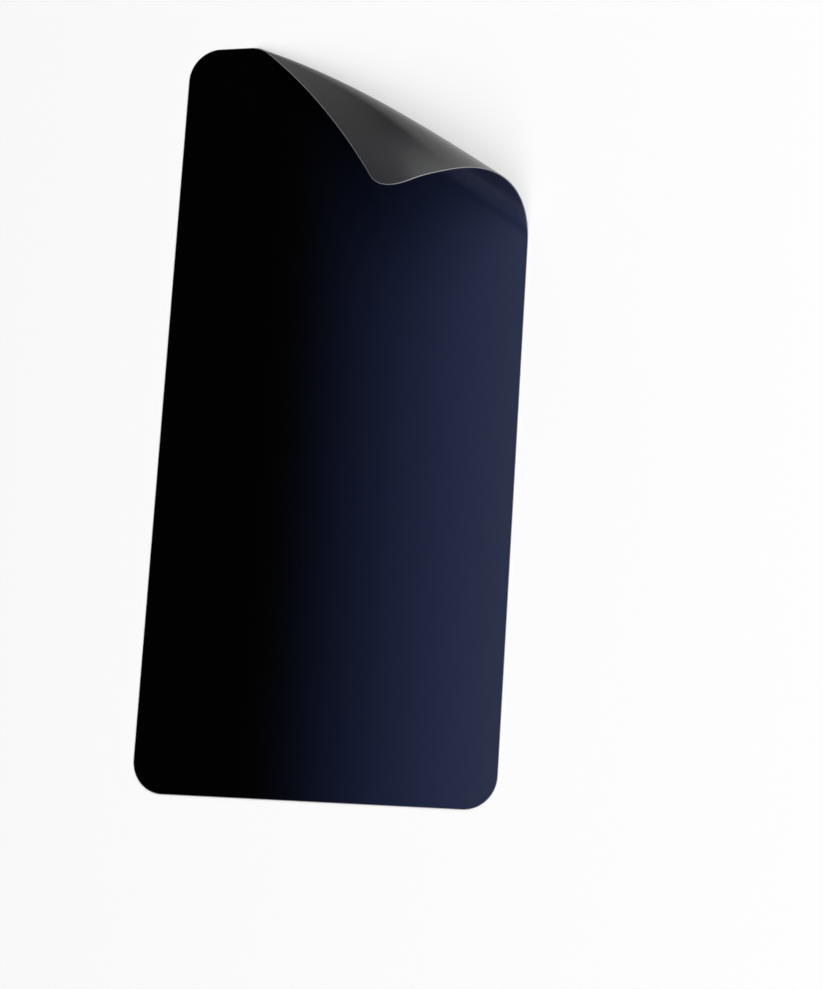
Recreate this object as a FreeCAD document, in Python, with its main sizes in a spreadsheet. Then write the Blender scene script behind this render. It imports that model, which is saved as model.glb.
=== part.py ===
import FreeCAD, Part
import math
import os

import Sketcher

# Phone screen protector: one die-cut privacy film that lies flat, front side up, with its
# adhesive side on z = 0 and its top right corner peeled up and rolled over towards the front.
# +X runs across the film, +Y towards its top edge, and the origin is the middle of its outline.

os.makedirs("parts", exist_ok=True)
doc = FreeCAD.newDocument("screen_protector")

# Driving dimensions, in millimetres and degrees
SIZES = (
    ("film_width", 68.0),
    ("film_height", 140.0),
    ("film_thickness", 0.2),
    ("corner_radius", 6.0),
    # How far from the top right corner the peel reaches, along the top and down the side
    ("peel_along_top", 55.5),
    ("peel_down_side", 39.1),
    # The roll's radius at the peel line, at the top edge and at the right edge
    ("roll_radius_at_top", 0.26),
    ("roll_radius_at_side", 5.33),
    # The angle that the roll turns through, and the share of its curvature that it loses on the way
    ("roll_turn", 147.6),
    ("roll_slack", 0.93),
    # How far the middle of the roll bows out towards the corner
    ("roll_bow", 3.95),
    # How far the flap springs up beside its tip
    ("flap_spring", 1.9),
)
sheet = doc.addObject("Spreadsheet::Sheet", "sizes")
for row, (alias, value) in enumerate(SIZES, start=1):
    sheet.set(f"A{row}", alias)
    sheet.set(f"B{row}", str(value))
    sheet.setAlias(f"B{row}", alias)
doc.recompute()


def size(alias):
    """A driving dimension, as the sheet now holds it."""
    return float(sheet.get(alias))


def origin_plane(body, role):
    """One of the body's own origin planes, found by its role."""
    for feature in body.Origin.OriginFeatures:
        if feature.Role == role:
            return feature
    raise RuntimeError(f"{body.Label} has no {role}")


# The flat sheet: the film's outline with three rounded corners, cut straight along the peel line

half_width = size("film_width") / 2
half_height = size("film_height") / 2
radius = size("corner_radius")
peel_at_top = FreeCAD.Vector(half_width - size("peel_along_top"), half_height, 0)
peel_at_side = FreeCAD.Vector(half_width, half_height - size("peel_down_side"), 0)

flat_sheet = doc.addObject("PartDesign::Body", "FlatSheet")
outline = flat_sheet.newObject("Sketcher::SketchObject", "FlatOutline")
outline.AttachmentSupport = [(origin_plane(flat_sheet, "XY_Plane"), "")]
outline.MapMode = "FlatFace"


def add_line(start_x, start_y, end_x, end_y):
    start = FreeCAD.Vector(start_x, start_y, 0)
    end = FreeCAD.Vector(end_x, end_y, 0)
    return outline.addGeometry(Part.LineSegment(start, end), False)


def add_corner(centre_x, centre_y, first_angle):
    circle = Part.Circle(FreeCAD.Vector(centre_x, centre_y, 0), FreeCAD.Vector(0, 0, 1), radius)
    arc = Part.ArcOfCircle(circle, math.radians(first_angle), math.radians(first_angle + 90))
    return outline.addGeometry(arc, False)


inner_x = half_width - radius
inner_y = half_height - radius
bottom_edge = add_line(-inner_x, -half_height, inner_x, -half_height)
bottom_right = add_corner(inner_x, -inner_y, -90)
right_edge = add_line(half_width, -inner_y, half_width, peel_at_side.y)
peel_edge = add_line(peel_at_side.x, peel_at_side.y, peel_at_top.x, peel_at_top.y)
top_edge = add_line(peel_at_top.x, half_height, -inner_x, half_height)
top_left = add_corner(-inner_x, inner_y, 90)
left_edge = add_line(-half_width, inner_y, -half_width, -inner_y)
bottom_left = add_corner(-inner_x, -inner_y, 180)

START = 1
END = 2
ORIGIN = (-1, 1)
for before, after in (
    (bottom_edge, bottom_right),
    (bottom_right, right_edge),
    (top_edge, top_left),
    (top_left, left_edge),
    (left_edge, bottom_left),
    (bottom_left, bottom_edge),
):
    outline.addConstraint(Sketcher.Constraint("Tangent", before, END, after, START))
for before, after in ((right_edge, peel_edge), (peel_edge, top_edge)):
    outline.addConstraint(Sketcher.Constraint("Coincident", before, END, after, START))
for level in (bottom_edge, top_edge):
    outline.addConstraint(Sketcher.Constraint("Horizontal", level))
for upright in (right_edge, left_edge):
    outline.addConstraint(Sketcher.Constraint("Vertical", upright))
for corner in (top_left, bottom_left):
    outline.addConstraint(Sketcher.Constraint("Equal", bottom_right, corner))


def bind(constraint, expression):
    """Adds a dimension to the outline and ties it to the sheet."""
    index = outline.addConstraint(constraint)
    outline.setExpression(f"Constraints[{index}]", expression)


def bound_span(kind, first, second, value, expression):
    bind(Sketcher.Constraint(kind, *first, *second, value), expression)


bind(Sketcher.Constraint("Radius", bottom_right, radius), "sizes.corner_radius")
bound_span("DistanceX", ORIGIN, (right_edge, START), half_width, "sizes.film_width / 2")
bound_span("DistanceX", (left_edge, START), ORIGIN, half_width, "sizes.film_width / 2")
bound_span("DistanceY", ORIGIN, (top_edge, END), half_height, "sizes.film_height / 2")
bound_span("DistanceY", (bottom_edge, START), ORIGIN, half_height, "sizes.film_height / 2")
bound_span("DistanceX", (peel_edge, END), (peel_edge, START), size("peel_along_top"), "sizes.peel_along_top")
bound_span("DistanceY", (peel_edge, START), (peel_edge, END), size("peel_down_side"), "sizes.peel_down_side")

pad = flat_sheet.newObject("PartDesign::Pad", "FlatPad")
pad.Profile = outline
pad.setExpression("Length", "sizes.film_thickness")

# The peeled corner: film that rolls up along straight rulings, which all start from one point just
# beyond the top edge, and then runs on as a flap. The roll is tightest at the peel line. Lengths
# on the film hardly change, so the flap ends in the film's own top edge, corner and right edge.

UP = FreeCAD.Vector(0, 0, 1)
thickness = size("film_thickness")
roll_slack = size("roll_slack")
peel_length = (peel_at_side - peel_at_top).Length
along = (peel_at_side - peel_at_top) / peel_length
across = UP.cross(along)
radius_growth = (size("roll_radius_at_side") - size("roll_radius_at_top")) / peel_length
apex_gap = size("roll_radius_at_top") / radius_growth
apex = peel_at_top - along * apex_gap
# The angle of flat film about that point which the whole roll takes up
roll_bearing = math.radians(size("roll_turn")) * radius_growth / (1 - roll_slack / 2)
WEDGES = 1000
wedge = roll_bearing / WEDGES


def roll_frames():
    """Each ruling of the roll, with the direction in which the film runs on from it.

    The film is taken as slim flat wedges between rulings, with a slight fold at each ruling.
    """
    ruling = along
    onward = across
    frames = [(ruling, onward)]
    for number in range(WEDGES):
        curvature = (1 - roll_slack * (number + 0.5) / WEDGES) / radius_growth
        half_fold = math.degrees(wedge * curvature / 2)
        onward = FreeCAD.Rotation(ruling, half_fold).multVec(onward)
        next_ruling = ruling * math.cos(wedge) + onward * math.sin(wedge)
        onward = onward * math.cos(wedge) - ruling * math.sin(wedge)
        ruling = next_ruling
        onward = FreeCAD.Rotation(ruling, half_fold).multVec(onward)
        frames.append((ruling, onward))
    return frames


FRAMES = roll_frames()


def bearing_from_apex(point):
    """The angle of a point of the flat film about the rulings' common point, from the peel line."""
    offset = point - apex
    return math.atan2(offset.dot(across), offset.dot(along))


# The flap springs up a little beside its tip, and the spring dies away towards the roll and the apex
sheet_corner = FreeCAD.Vector(half_width, half_height, 0)
tip_bearing = bearing_from_apex(sheet_corner)
tip_reach = (sheet_corner - apex).Length
SPRING_ONSET = 3
SPRING_SPREAD = 6


def rolled(point):
    """Where a point of the flat film's adhesive side lies once its corner is rolled up."""
    bearing = bearing_from_apex(point)
    if bearing <= 0:
        return point
    if bearing < roll_bearing:
        number = int(bearing / wedge)
        part_way = bearing / wedge - number
        ruling = FRAMES[number][0] * (1 - part_way) + FRAMES[number + 1][0] * part_way
        onward = FRAMES[number][1] * (1 - part_way) + FRAMES[number + 1][1] * part_way
        direction = ruling
    else:
        ruling, onward = FRAMES[-1]
        past_roll = bearing - roll_bearing
        direction = ruling * math.cos(past_roll) + onward * math.sin(past_roll)
    reach = (point - apex).Length
    place = direction / direction.Length * reach
    share = min(max((place.dot(along) - apex_gap) / peel_length, 0.0), 1.0)
    eased_in = (1 - math.cos(math.pi * min(bearing / roll_bearing, 1.0))) / 2
    bow = across * (size("roll_bow") * 4 * share * (1 - share) * eased_in)
    outward = onward.cross(ruling).normalize()
    spring_share = math.sin(math.pi * (bearing / tip_bearing) ** SPRING_ONSET)
    spring = outward * (size("flap_spring") * spring_share * (reach / tip_reach) ** SPRING_SPREAD)
    return apex + place + bow + spring


def front_normal(point):
    """The direction from the adhesive side to the front, at a point of the rolled film."""
    if bearing_from_apex(point) < wedge / 2:
        return UP
    step_x = FreeCAD.Vector(thickness / 100, 0, 0)
    step_y = FreeCAD.Vector(0, thickness / 100, 0)
    slope_x = rolled(point + step_x) - rolled(point - step_x)
    slope_y = rolled(point + step_y) - rolled(point - step_y)
    return slope_x.cross(slope_y).normalize()


def film_point(point, height):
    """A point of the rolled film at a height above its adhesive side."""
    return rolled(point) + front_normal(point) * height


ROLL_STEPS = 14
FLAP_STEPS = 12
COLUMNS = 18
# The roll takes at most this share of the way to the corner, so that a flap is always left
MOST_ROLL = 0.85
corner_centre = FreeCAD.Vector(inner_x, inner_y, 0)


def column_ends(share):
    """A line across the peeled corner, from the peel line to the rounded corner's arc."""
    angle = share * math.pi / 2
    start = peel_at_top + (peel_at_side - peel_at_top) * share
    end = corner_centre + FreeCAD.Vector(math.sin(angle), math.cos(angle), 0) * radius
    return start, end


def roll_share(start, end):
    """How far along such a line the roll ends and the flap begins."""
    if bearing_from_apex(end) <= roll_bearing:
        return MOST_ROLL
    last_ruling = along * math.cos(roll_bearing) + across * math.sin(roll_bearing)
    sideways = UP.cross(last_ruling)
    share = (start - apex).dot(sideways) / (start - end).dot(sideways)
    return min(share, MOST_ROLL)


def corner_surface(height):
    """One side of the peeled corner, through points from the peel line to the corner's arc."""
    grid = []
    for step in range(ROLL_STEPS + FLAP_STEPS + 1):
        points = []
        for column in range(COLUMNS + 1):
            start, end = column_ends(column / COLUMNS)
            roll = roll_share(start, end)
            if step <= ROLL_STEPS:
                share = roll * step / ROLL_STEPS
            else:
                share = roll + (1 - roll) * (step - ROLL_STEPS) / FLAP_STEPS
            points.append(film_point(start + (end - start) * share, height))
        grid.append(points)
    surface = Part.BSplineSurface()
    surface.interpolate(grid)
    return surface


SAME_DIRECTION = 1


def edge_strip(back_curve, front_curve):
    """The cut edge of the film between its two sides."""
    return Part.makeRuledSurface(back_curve.toShape(), front_curve.toShape(), SAME_DIRECTION)


back = corner_surface(0)
front = corner_surface(thickness)
corner_faces = [back.toShape(), front.toShape()]
for back_end, front_end in zip(back.bounds()[:2], front.bounds()[:2]):
    corner_faces.append(edge_strip(back.uIso(back_end), front.uIso(front_end)))
for back_end, front_end in zip(back.bounds()[2:], front.bounds()[2:]):
    corner_faces.append(edge_strip(back.vIso(back_end), front.vIso(front_end)))
corner_shell = Part.makeShell(corner_faces)
corner_shell.sewShape()
corner_solid = Part.makeSolid(corner_shell)
if corner_solid.Volume < 0:
    corner_solid.reverse()
peeled_corner = doc.addObject("Part::Feature", "PeeledCorner")
peeled_corner.Shape = corner_solid

# The whole film is one piece

film = doc.addObject("Part::MultiFuse", "Film")
film.Shapes = [flat_sheet, peeled_corner]
film.Label = "protector_film"
doc.recompute()

for item in doc.Objects:
    if "Invalid" in item.State or "Error" in item.State:
        raise RuntimeError(f"{item.Label} could not be built")
shape = film.Shape
if shape.isNull() or not shape.isValid() or len(shape.Solids) != 1:
    raise RuntimeError("the film is not one valid solid")
shape.exportStep(f"parts/{film.Label}.step")
print(film.Label, "volume", round(shape.Volume, 2), "box", shape.BoundBox)
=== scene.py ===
import math

import bmesh
import bpy
from mathutils import Matrix, Quaternion, Vector


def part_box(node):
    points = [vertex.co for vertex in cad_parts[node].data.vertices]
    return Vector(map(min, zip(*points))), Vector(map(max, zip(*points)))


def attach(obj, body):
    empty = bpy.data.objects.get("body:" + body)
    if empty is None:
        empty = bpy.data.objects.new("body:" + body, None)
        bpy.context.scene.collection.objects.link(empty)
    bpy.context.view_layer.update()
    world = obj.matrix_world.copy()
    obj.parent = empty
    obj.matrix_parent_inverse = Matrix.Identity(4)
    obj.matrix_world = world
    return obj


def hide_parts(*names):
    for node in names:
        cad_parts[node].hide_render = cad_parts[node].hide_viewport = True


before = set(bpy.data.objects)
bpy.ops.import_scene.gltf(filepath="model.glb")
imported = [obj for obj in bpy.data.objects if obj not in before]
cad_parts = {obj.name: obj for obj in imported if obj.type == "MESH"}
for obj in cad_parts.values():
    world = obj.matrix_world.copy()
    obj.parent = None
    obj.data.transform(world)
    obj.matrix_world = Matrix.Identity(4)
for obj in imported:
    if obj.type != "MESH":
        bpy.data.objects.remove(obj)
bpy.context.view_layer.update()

# The film: one die-cut privacy film, a laminate of a black hard-coated front, a louvre layer and a
# clear adhesive. It lies on its adhesive side, and its top right corner has been peeled up, so that
# it rolls over towards the front and shows that side.
MM = 0.001
UP = Vector((0, 0, 1))
lowest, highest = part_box("protector_film")
film_width = highest.x - lowest.x
film_height = highest.y - lowest.y
FILM_THICKNESS = 0.2 * MM
CORNER_RADIUS = 6 * MM
# How far from the top right corner the peel reaches, along the top and down the side
PEEL_ALONG_TOP = 55.5 * MM
PEEL_DOWN_SIDE = 39.1 * MM
# The roll's radius at the peel line, at the top edge and at the right edge
ROLL_RADIUS_AT_TOP = 0.26 * MM
ROLL_RADIUS_AT_SIDE = 5.33 * MM
# The angle that the roll turns through, and the share of its curvature that it loses on the way
ROLL_TURN = math.radians(147.6)
ROLL_SLACK = 0.93
# How far the middle of the roll bows out towards the corner
ROLL_BOW = 3.95 * MM
# How far the flap springs up beside its tip
FLAP_SPRING = 1.9 * MM

# The straight rulings of the roll all start from one point just beyond the top edge
peel_at_top = Vector((film_width / 2 - PEEL_ALONG_TOP, film_height / 2, 0))
peel_at_side = Vector((film_width / 2, film_height / 2 - PEEL_DOWN_SIDE, 0))
peel_length = (peel_at_side - peel_at_top).length
along = (peel_at_side - peel_at_top) / peel_length
across = UP.cross(along)
radius_growth = (ROLL_RADIUS_AT_SIDE - ROLL_RADIUS_AT_TOP) / peel_length
apex_gap = ROLL_RADIUS_AT_TOP / radius_growth
apex = peel_at_top - along * apex_gap
# The angle of flat film about that point which the whole roll takes up
roll_bearing = ROLL_TURN * radius_growth / (1 - ROLL_SLACK / 2)

# The flat sheet, with its four corners rounded by the die
CORNER_STEPS = 24
ROUND_PROFILE = 0.5
bpy.ops.object.select_all(action="DESELECT")
bpy.ops.mesh.primitive_plane_add(size=1)
film = bpy.context.object
film.name = "peeled_film"
film.scale = (film_width, film_height, 1)
bpy.ops.object.transform_apply(location=False, rotation=False, scale=True)
bpy.ops.object.mode_set(mode="EDIT")
bpy.ops.mesh.select_all(action="SELECT")
bpy.ops.mesh.bevel(
    affect="VERTICES",
    offset=CORNER_RADIUS,
    segments=CORNER_STEPS,
    profile=ROUND_PROFILE,
)

# A narrow lip round the outline, of the same material as the cut edge
LIP_WIDTH = 0.08 * MM
CUT_EDGE_SLOT = 2
bpy.ops.mesh.inset(thickness=LIP_WIDTH, use_even_offset=True, use_select_inset=True)
edited = bmesh.from_edit_mesh(film.data)
for face in edited.faces:
    if face.select:
        face.material_index = CUT_EDGE_SLOT
bmesh.update_edit_mesh(film.data)

# Cuts along the rulings and across them, so that the sheet's edges follow the way it rolls
ROLL_CUTS = 80
FLAP_CUTS = 14
CROSS_CUTS = 60
CUT_REACH = 1e-8
# Two narrow strips of flat film beside the peel line keep the rest of the flat film even
FLAT_STRIPS = (0.3 * MM, 1.5 * MM)


def cut_along(point, direction):
    """Cuts the selected film along a straight line in its own plane."""
    bpy.ops.mesh.bisect(plane_co=point, plane_no=UP.cross(direction), threshold=CUT_REACH)


def bearing_from_apex(point):
    """The angle of a point of the flat film about the rulings' common point, from the peel line."""
    offset = point - apex
    return math.atan2(offset.dot(across), offset.dot(along))


def select_peeled():
    """Selects the film beyond the peel line."""
    bpy.ops.mesh.select_all(action="DESELECT")
    sheet = bmesh.from_edit_mesh(film.data)
    for face in sheet.faces:
        face.select_set(bearing_from_apex(face.calc_center_median()) > 0)
    bmesh.update_edit_mesh(film.data)


for strip in FLAT_STRIPS:
    bpy.ops.mesh.select_all(action="SELECT")
    cut_along(peel_at_top - across * strip, along)
bpy.ops.mesh.select_all(action="SELECT")
cut_along(peel_at_top, along)
sheet_corner = Vector((film_width / 2, film_height / 2, 0))
tip_bearing = bearing_from_apex(sheet_corner)
flap_bearing = tip_bearing - roll_bearing
for number in range(1, ROLL_CUTS + FLAP_CUTS):
    if number <= ROLL_CUTS:
        bearing = roll_bearing * number / ROLL_CUTS
    else:
        bearing = roll_bearing + flap_bearing * (number - ROLL_CUTS) / FLAP_CUTS
    select_peeled()
    cut_along(apex, along * math.cos(bearing) + across * math.sin(bearing))
for number in range(1, CROSS_CUTS):
    select_peeled()
    cut_along(peel_at_top + along * peel_length * number / CROSS_CUTS, across)
edited = bmesh.from_edit_mesh(film.data)
edited.verts.index_update()
outline = [vertex.index for vertex in edited.verts if vertex.is_boundary]
bpy.ops.object.mode_set(mode="OBJECT")
sheet_vertices = len(film.data.vertices)

# The peeled corner is rolled up along its rulings, as slim flat wedges with a slight fold at each
WEDGES = 1000
wedge = roll_bearing / WEDGES


def rulings_of_roll():
    """Each ruling of the roll, with the direction in which the film runs on from it."""
    ruling = along
    onward = across
    rulings = [(ruling, onward)]
    for number in range(WEDGES):
        middle_of_wedge = (number + 0.5) / WEDGES
        curvature = (1 - ROLL_SLACK * middle_of_wedge) / radius_growth
        half_fold = wedge * curvature / 2
        onward = Quaternion(ruling, half_fold) @ onward
        next_ruling = ruling * math.cos(wedge) + onward * math.sin(wedge)
        onward = onward * math.cos(wedge) - ruling * math.sin(wedge)
        ruling = next_ruling
        onward = Quaternion(ruling, half_fold) @ onward
        rulings.append((ruling, onward))
    return rulings


roll_rulings = rulings_of_roll()
# The flap springs up a little beside its tip, and the spring dies away towards the roll and the apex
tip_reach = (sheet_corner - apex).length
SPRING_ONSET = 3
SPRING_SPREAD = 6


def rolled(point):
    """Where a point of the flat film's adhesive side lies once its corner is rolled up."""
    bearing = bearing_from_apex(point)
    if bearing <= 0:
        return point.copy()
    if bearing < roll_bearing:
        number = int(bearing / wedge)
        part_way = bearing / wedge - number
        ruling = roll_rulings[number][0].lerp(roll_rulings[number + 1][0], part_way)
        onward = roll_rulings[number][1].lerp(roll_rulings[number + 1][1], part_way)
        direction = ruling
    else:
        ruling, onward = roll_rulings[-1]
        past_roll = bearing - roll_bearing
        direction = ruling * math.cos(past_roll) + onward * math.sin(past_roll)
    reach = (point - apex).length
    place = direction.normalized() * reach
    # The bow is an arch along the roll, 0 at both ends and 1 in the middle, that eases in as it turns
    share = min(max((place.dot(along) - apex_gap) / peel_length, 0), 1)
    arch = 4 * share * (1 - share)
    eased_in = (1 - math.cos(math.pi * min(bearing / roll_bearing, 1))) / 2
    bow = across * (ROLL_BOW * arch * eased_in)
    outward = onward.cross(ruling).normalized()
    spring_share = math.sin(math.pi * (bearing / tip_bearing) ** SPRING_ONSET)
    spring = outward * (FLAP_SPRING * spring_share * (reach / tip_reach) ** SPRING_SPREAD)
    return apex + place + bow + spring


for vertex in film.data.vertices:
    vertex.co = rolled(vertex.co)

# The film's thickness lies on the front side, with a material each for front, back and cut edge
ADHESIVE_SLOT = 1
bpy.ops.object.modifier_add(type="SOLIDIFY")
thickness = film.modifiers[-1]
thickness.thickness = FILM_THICKNESS
thickness.offset = 1
thickness.use_even_offset = True
thickness.use_quality_normals = True
thickness.material_offset = ADHESIVE_SLOT
thickness.material_offset_rim = CUT_EDGE_SLOT

# The louvre layer lets no light through at the left and more and more towards the right, in faint
# streaks down the sheet. The places and the shares of light run from 0 to 1.
CLEAR_FROM = 0.25
LIGHT_AT_RIGHT_EDGE = 0.155
STREAKS_ACROSS = 160
STREAK_DEPTH = 0.03


def louvre_group():
    """How much light one face of the film holds back, by its place across the sheet and its tilt.

    The louvres close as the film tilts. Closed at is the upward part of the face's normal at which
    they are as far closed as they go, and Least opening is what they still let through there.
    """
    group = bpy.data.node_groups.new("louvre_layer", "ShaderNodeTree")
    for name in ("Closed at", "Closing power", "Least opening"):
        group.interface.new_socket(name, in_out="INPUT", socket_type="NodeSocketFloat")
    for name in ("Alpha", "Clearness"):
        group.interface.new_socket(name, in_out="OUTPUT", socket_type="NodeSocketFloat")
    nodes = group.nodes
    links = group.links
    given = nodes.new("NodeGroupInput")
    output = nodes.new("NodeGroupOutput")

    def feed(socket, value):
        """Links a socket to another one, or sets it to a plain number."""
        if isinstance(value, bpy.types.NodeSocket):
            links.new(value, socket)
        else:
            socket.default_value = value

    def calculate(operation, first, second):
        """A Math node between two sockets or plain numbers."""
        node = nodes.new("ShaderNodeMath")
        node.operation = operation
        feed(node.inputs[0], first)
        feed(node.inputs[1], second)
        return node.outputs["Value"]

    def spread(value, from_low, from_high, to_low, to_high):
        """A value's range stretched onto another range, and held within it."""
        node = nodes.new("ShaderNodeMapRange")
        limits = {"From Min": from_low, "From Max": from_high, "To Min": to_low, "To Max": to_high}
        for name, limit in limits.items():
            feed(node.inputs[name], limit)
        feed(node.inputs["Value"], value)
        return node.outputs["Result"]

    flat_pattern = nodes.new("ShaderNodeUVMap")
    flat_pattern.uv_map = film.data.uv_layers.active.name
    place = nodes.new("ShaderNodeSeparateXYZ")
    links.new(flat_pattern.outputs["UV"], place.inputs["Vector"])
    clearness = spread(place.outputs["X"], CLEAR_FROM, 1, 0, 1)
    links.new(clearness, output.inputs["Clearness"])
    light = calculate("MULTIPLY", clearness, LIGHT_AT_RIGHT_EDGE)

    own_axes = nodes.new("ShaderNodeTexCoord")
    facing = nodes.new("ShaderNodeSeparateXYZ")
    links.new(own_axes.outputs["Normal"], facing.inputs["Vector"])
    level = calculate("ABSOLUTE", facing.outputs["Z"], 0)
    flatness = spread(level, given.outputs["Closed at"], 1, 0, 1)
    closing = calculate("POWER", flatness, given.outputs["Closing power"])
    opening = spread(closing, 0, 1, given.outputs["Least opening"], 1)

    stretched = nodes.new("ShaderNodeMapping")
    stretched.inputs["Scale"].default_value = (STREAKS_ACROSS, 1, 1)
    links.new(flat_pattern.outputs["UV"], stretched.inputs["Vector"])
    streaks = nodes.new("ShaderNodeTexNoise")
    streaks.inputs["Scale"].default_value = 1
    links.new(stretched.outputs["Vector"], streaks.inputs["Vector"])
    evenness = spread(streaks.outputs["Fac"], 0, 1, 1 - STREAK_DEPTH, 1 + STREAK_DEPTH)

    passed = calculate("MULTIPLY", calculate("MULTIPLY", light, opening), evenness)
    # Light crosses two faces, so each passes the square root of what the film passes
    held_back = calculate("SUBTRACT", 1, calculate("SQRT", passed, 0))
    links.new(held_back, output.inputs["Alpha"])
    return group


# The laminate's waves are plain and its clouds are ragged. The clouds' noise keeps to a middle range.
WAVE_DETAIL = 1
CLOUD_DETAIL = 4
THINNEST_CLOUD = 0.3
THICKEST_CLOUD = 0.7


def sheen_group():
    """The slow waves and fine clouding of a soft laminate, for its bump and its roughness."""
    group = bpy.data.node_groups.new("laminate_sheen", "ShaderNodeTree")
    for name in ("Wave scale", "Cloud scale", "Smoothest", "Roughest"):
        group.interface.new_socket(name, in_out="INPUT", socket_type="NodeSocketFloat")
    for name in ("Waves", "Roughness"):
        group.interface.new_socket(name, in_out="OUTPUT", socket_type="NodeSocketFloat")
    nodes = group.nodes
    links = group.links
    given = nodes.new("NodeGroupInput")
    output = nodes.new("NodeGroupOutput")
    own_axes = nodes.new("ShaderNodeTexCoord")
    waves = nodes.new("ShaderNodeTexNoise")
    waves.inputs["Detail"].default_value = WAVE_DETAIL
    links.new(own_axes.outputs["Object"], waves.inputs["Vector"])
    links.new(given.outputs["Wave scale"], waves.inputs["Scale"])
    links.new(waves.outputs["Fac"], output.inputs["Waves"])
    clouds = nodes.new("ShaderNodeTexNoise")
    clouds.inputs["Detail"].default_value = CLOUD_DETAIL
    links.new(own_axes.outputs["Object"], clouds.inputs["Vector"])
    links.new(given.outputs["Cloud scale"], clouds.inputs["Scale"])
    roughness = nodes.new("ShaderNodeMapRange")
    roughness.inputs["From Min"].default_value = THINNEST_CLOUD
    roughness.inputs["From Max"].default_value = THICKEST_CLOUD
    links.new(clouds.outputs["Fac"], roughness.inputs["Value"])
    links.new(given.outputs["Smoothest"], roughness.inputs["To Min"])
    links.new(given.outputs["Roughest"], roughness.inputs["To Max"])
    links.new(roughness.outputs["Result"], output.inputs["Roughness"])
    return group


louvre_layer = louvre_group()
laminate_sheen = sheen_group()
# The clearness at which the film's closed colour starts to give way to its clear colour, which on the
# front is a painted blue backlight
TINT_AND_BACKLIGHT_FROM = 0.09


def new_material(name):
    """A material, with its shader."""
    material = bpy.data.materials.new(name)
    material.use_nodes = True
    return material, material.node_tree.nodes["Principled BSDF"]


def film_face_material(name, closed_colour, clear_colour_and_backlight, ior, wave_height, louvre_values, sheen_values):
    """One face of the film: its colour over the louvre layer, with a laminate's own sheen. On the front,
    the colour towards the clear side is a painted blue backlight.
    """
    material, shader = new_material(name)
    shader.inputs["IOR"].default_value = ior
    nodes = material.node_tree.nodes
    links = material.node_tree.links
    louvres = nodes.new("ShaderNodeGroup")
    louvres.node_tree = louvre_layer
    for socket, value in louvre_values.items():
        louvres.inputs[socket].default_value = value
    links.new(louvres.outputs["Alpha"], shader.inputs["Alpha"])
    tint_and_backlight = nodes.new("ShaderNodeValToRGB")
    tint_and_backlight.color_ramp.interpolation = "EASE"
    closed_end, clear_end = tint_and_backlight.color_ramp.elements
    closed_end.position = TINT_AND_BACKLIGHT_FROM
    closed_end.color = closed_colour
    clear_end.color = clear_colour_and_backlight
    links.new(louvres.outputs["Clearness"], tint_and_backlight.inputs["Fac"])
    links.new(tint_and_backlight.outputs["Color"], shader.inputs["Base Color"])
    sheen = nodes.new("ShaderNodeGroup")
    sheen.node_tree = laminate_sheen
    for socket, value in sheen_values.items():
        sheen.inputs[socket].default_value = value
    links.new(sheen.outputs["Roughness"], shader.inputs["Roughness"])
    bump = nodes.new("ShaderNodeBump")
    bump.inputs["Distance"].default_value = wave_height
    links.new(sheen.outputs["Waves"], bump.inputs["Height"])
    links.new(bump.outputs["Normal"], shader.inputs["Normal"])
    return material


def front_material():
    """The hard-coated front: deep black, and dark blue towards its clear side, smooth and glossy. The
    dark blue is painted light, a blue glow shining up through the film; the film itself is neutral
    there.
    """
    return film_face_material(
        name="privacy_film_front",
        closed_colour=(0.0003, 0.0003, 0.0003, 1),
        # The blue of the clear side is painted light, a blue glow shining up through the film, not the
        # film's own colour
        clear_colour_and_backlight=(0.002, 0.0125, 0.068, 1),
        ior=1.35,
        wave_height=0.004 * MM,
        louvre_values={"Closed at": 0.8, "Closing power": 2, "Least opening": 0.2},
        sheen_values={"Wave scale": 45, "Cloud scale": 400, "Smoothest": 0.15, "Roughest": 0.165},
    )


def adhesive_material():
    """The adhesive side: the same black film under a soft, slightly cloudy adhesive."""
    return film_face_material(
        name="privacy_film_adhesive",
        closed_colour=(0.003, 0.003, 0.003, 1),
        clear_colour_and_backlight=(0.003, 0.003, 0.0032, 1),
        ior=1.65,
        wave_height=0.005 * MM,
        louvre_values={"Closed at": 0.5, "Closing power": 2, "Least opening": 0.05},
        sheen_values={"Wave scale": 120, "Cloud scale": 600, "Smoothest": 0.22, "Roughest": 0.24},
    )


CUT_EDGE_COLOUR = (0.24, 0.24, 0.25, 1)
CUT_EDGE_ROUGHNESS = 0.4


def cut_edge_material():
    """The cut edge of the clear laminate, which catches the light."""
    material, shader = new_material("privacy_film_cut_edge")
    shader.inputs["Base Color"].default_value = CUT_EDGE_COLOUR
    shader.inputs["Roughness"].default_value = CUT_EDGE_ROUGHNESS
    return material


for material in (front_material(), adhesive_material(), cut_edge_material()):
    film.data.materials.append(material)
bpy.ops.object.modifier_apply(modifier=thickness.name)

# The die turns the lip over: at the outline each face bends towards the other, by this share of the
# thickness
LIP_TURN = 0.35
for number in outline:
    front = film.data.vertices[number]
    back = film.data.vertices[number + sheet_vertices]
    turned = (back.co - front.co) * LIP_TURN
    front.co += turned
    back.co -= turned
SHARP_FROM = math.radians(30)
bpy.ops.object.shade_smooth_by_angle(angle=SHARP_FROM)

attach(film, "root")
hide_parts("protector_film")

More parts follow.
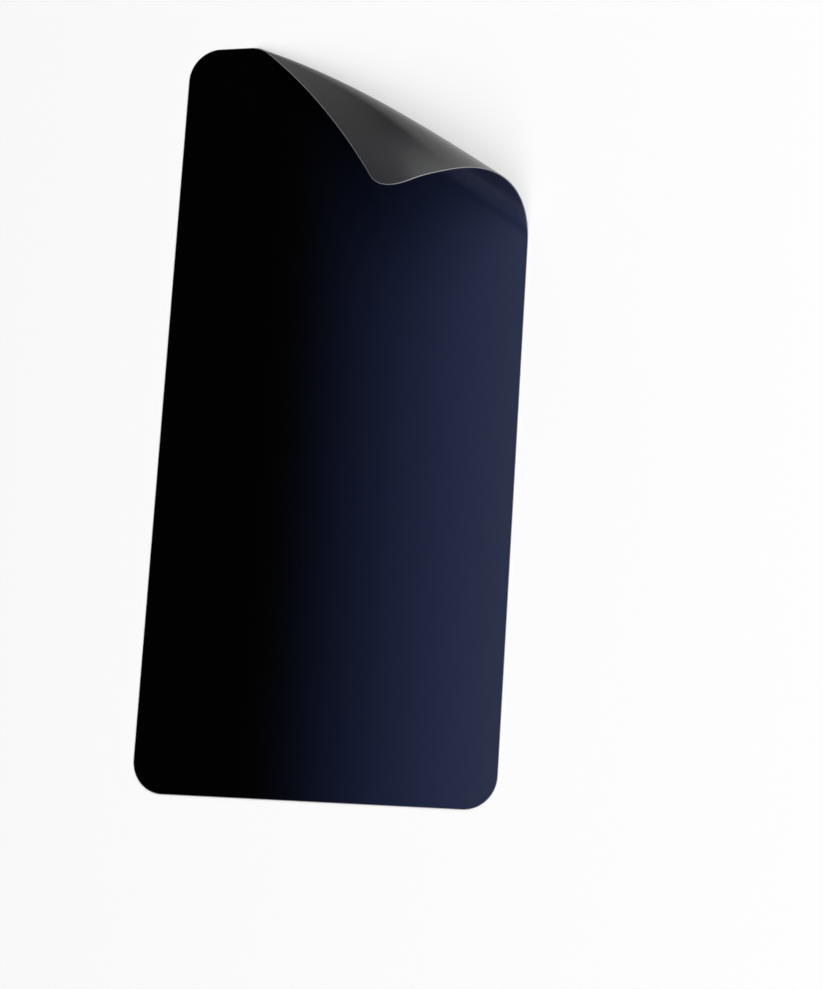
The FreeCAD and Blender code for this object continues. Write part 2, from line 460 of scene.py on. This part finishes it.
# The table top: a wide round board, painted a plain matt white. The film lies loose on it, a hair
# above the paint, and casts its shadow there.
FLOOR_RADIUS = 4
FLOOR_SIDES = 96
FLOOR_DROP = 0.05 * MM
FLOOR_COLOUR = (0.97, 0.97, 0.97, 1)
FLOOR_ROUGHNESS = 0.9
bpy.ops.object.select_all(action="DESELECT")
bpy.ops.mesh.primitive_circle_add(
    vertices=FLOOR_SIDES,
    radius=FLOOR_RADIUS,
    fill_type="NGON",
    location=(0, 0, -FLOOR_DROP),
)
floor = bpy.context.object
floor.name = "floor"
floor_material, floor_shader = new_material("floor_paint")
floor_shader.inputs["Base Color"].default_value = FLOOR_COLOUR
floor_shader.inputs["Roughness"].default_value = FLOOR_ROUGHNESS
floor_shader.inputs["Specular IOR Level"].default_value = 0
floor.data.materials.append(floor_material)

# The light: three wide soft boxes stand high round the film's right side, behind it, beside it and in
# front of it, so that the camera sees its flat face and the inside of its roll dark. A dim panel low
# behind the film gives the peeled flap its sheen, and the room adds a trace of light.
SOFT_BOX_DISTANCE = 3
# Each box's bearing round the table from the film's right, its elevation, width, height and watts
SOFT_BOXES = {
    "back": (56, 50, 3, 2.1, 52),
    "back_low": (115, 14, 1.8, 1.4, 4.4),
    "right": (-7, 50, 3, 2.1, 44),
    "front": (-73, 50, 3, 2.1, 44),
}
ROOM_COLOUR = (1, 1, 1, 1)
ROOM_LEVEL = 0.01
for name, (bearing, elevation, width, height, watts) in SOFT_BOXES.items():
    turn = Matrix.Rotation(math.radians(bearing), 3, "Z")
    lift = Matrix.Rotation(math.radians(-elevation), 3, "Y")
    place = turn @ lift @ Vector((SOFT_BOX_DISTANCE, 0, 0))
    bpy.ops.object.light_add(type="AREA", location=place)
    soft_box = bpy.context.object
    soft_box.name = f"soft_box_{name}"
    soft_box.rotation_euler = (-place).to_track_quat("-Z", "Y").to_euler()
    soft_box.data.shape = "RECTANGLE"
    soft_box.data.size = width
    soft_box.data.size_y = height
    soft_box.data.energy = watts
    soft_box.visible_camera = False

world = bpy.data.worlds.new("studio")
bpy.context.scene.world = world
world.use_nodes = True
room = world.node_tree.nodes["Background"]
room.inputs["Color"].default_value = ROOM_COLOUR
room.inputs["Strength"].default_value = ROOM_LEVEL
bpy.context.scene.view_settings.view_transform = "Standard"

# The camera: it looks down on the film from its right, with the film's long side upright. Its place,
# its turn and its focal length come from the film's four straight edges in the photograph.
IMAGE_HEIGHT = 989
FOCAL_LENGTH_PIXELS = 2404.8
SENSOR_HEIGHT = 36
CAMERA_PLACE = Vector((143.18, -87.05, 400.85)) * MM
CAMERA_RIGHT = Vector((0.954, 0.0626, -0.2933))
CAMERA_UP = Vector((-0.0092, 0.9837, 0.1798))
bpy.ops.object.camera_add(location=CAMERA_PLACE)
camera = bpy.context.object
camera_back = CAMERA_RIGHT.cross(CAMERA_UP)
axes = Matrix((CAMERA_RIGHT, CAMERA_UP, camera_back)).transposed()
camera.rotation_euler = axes.to_euler()
camera.data.sensor_fit = "VERTICAL"
camera.data.sensor_height = SENSOR_HEIGHT
camera.data.lens = FOCAL_LENGTH_PIXELS / IMAGE_HEIGHT * SENSOR_HEIGHT
bpy.context.scene.camera = camera
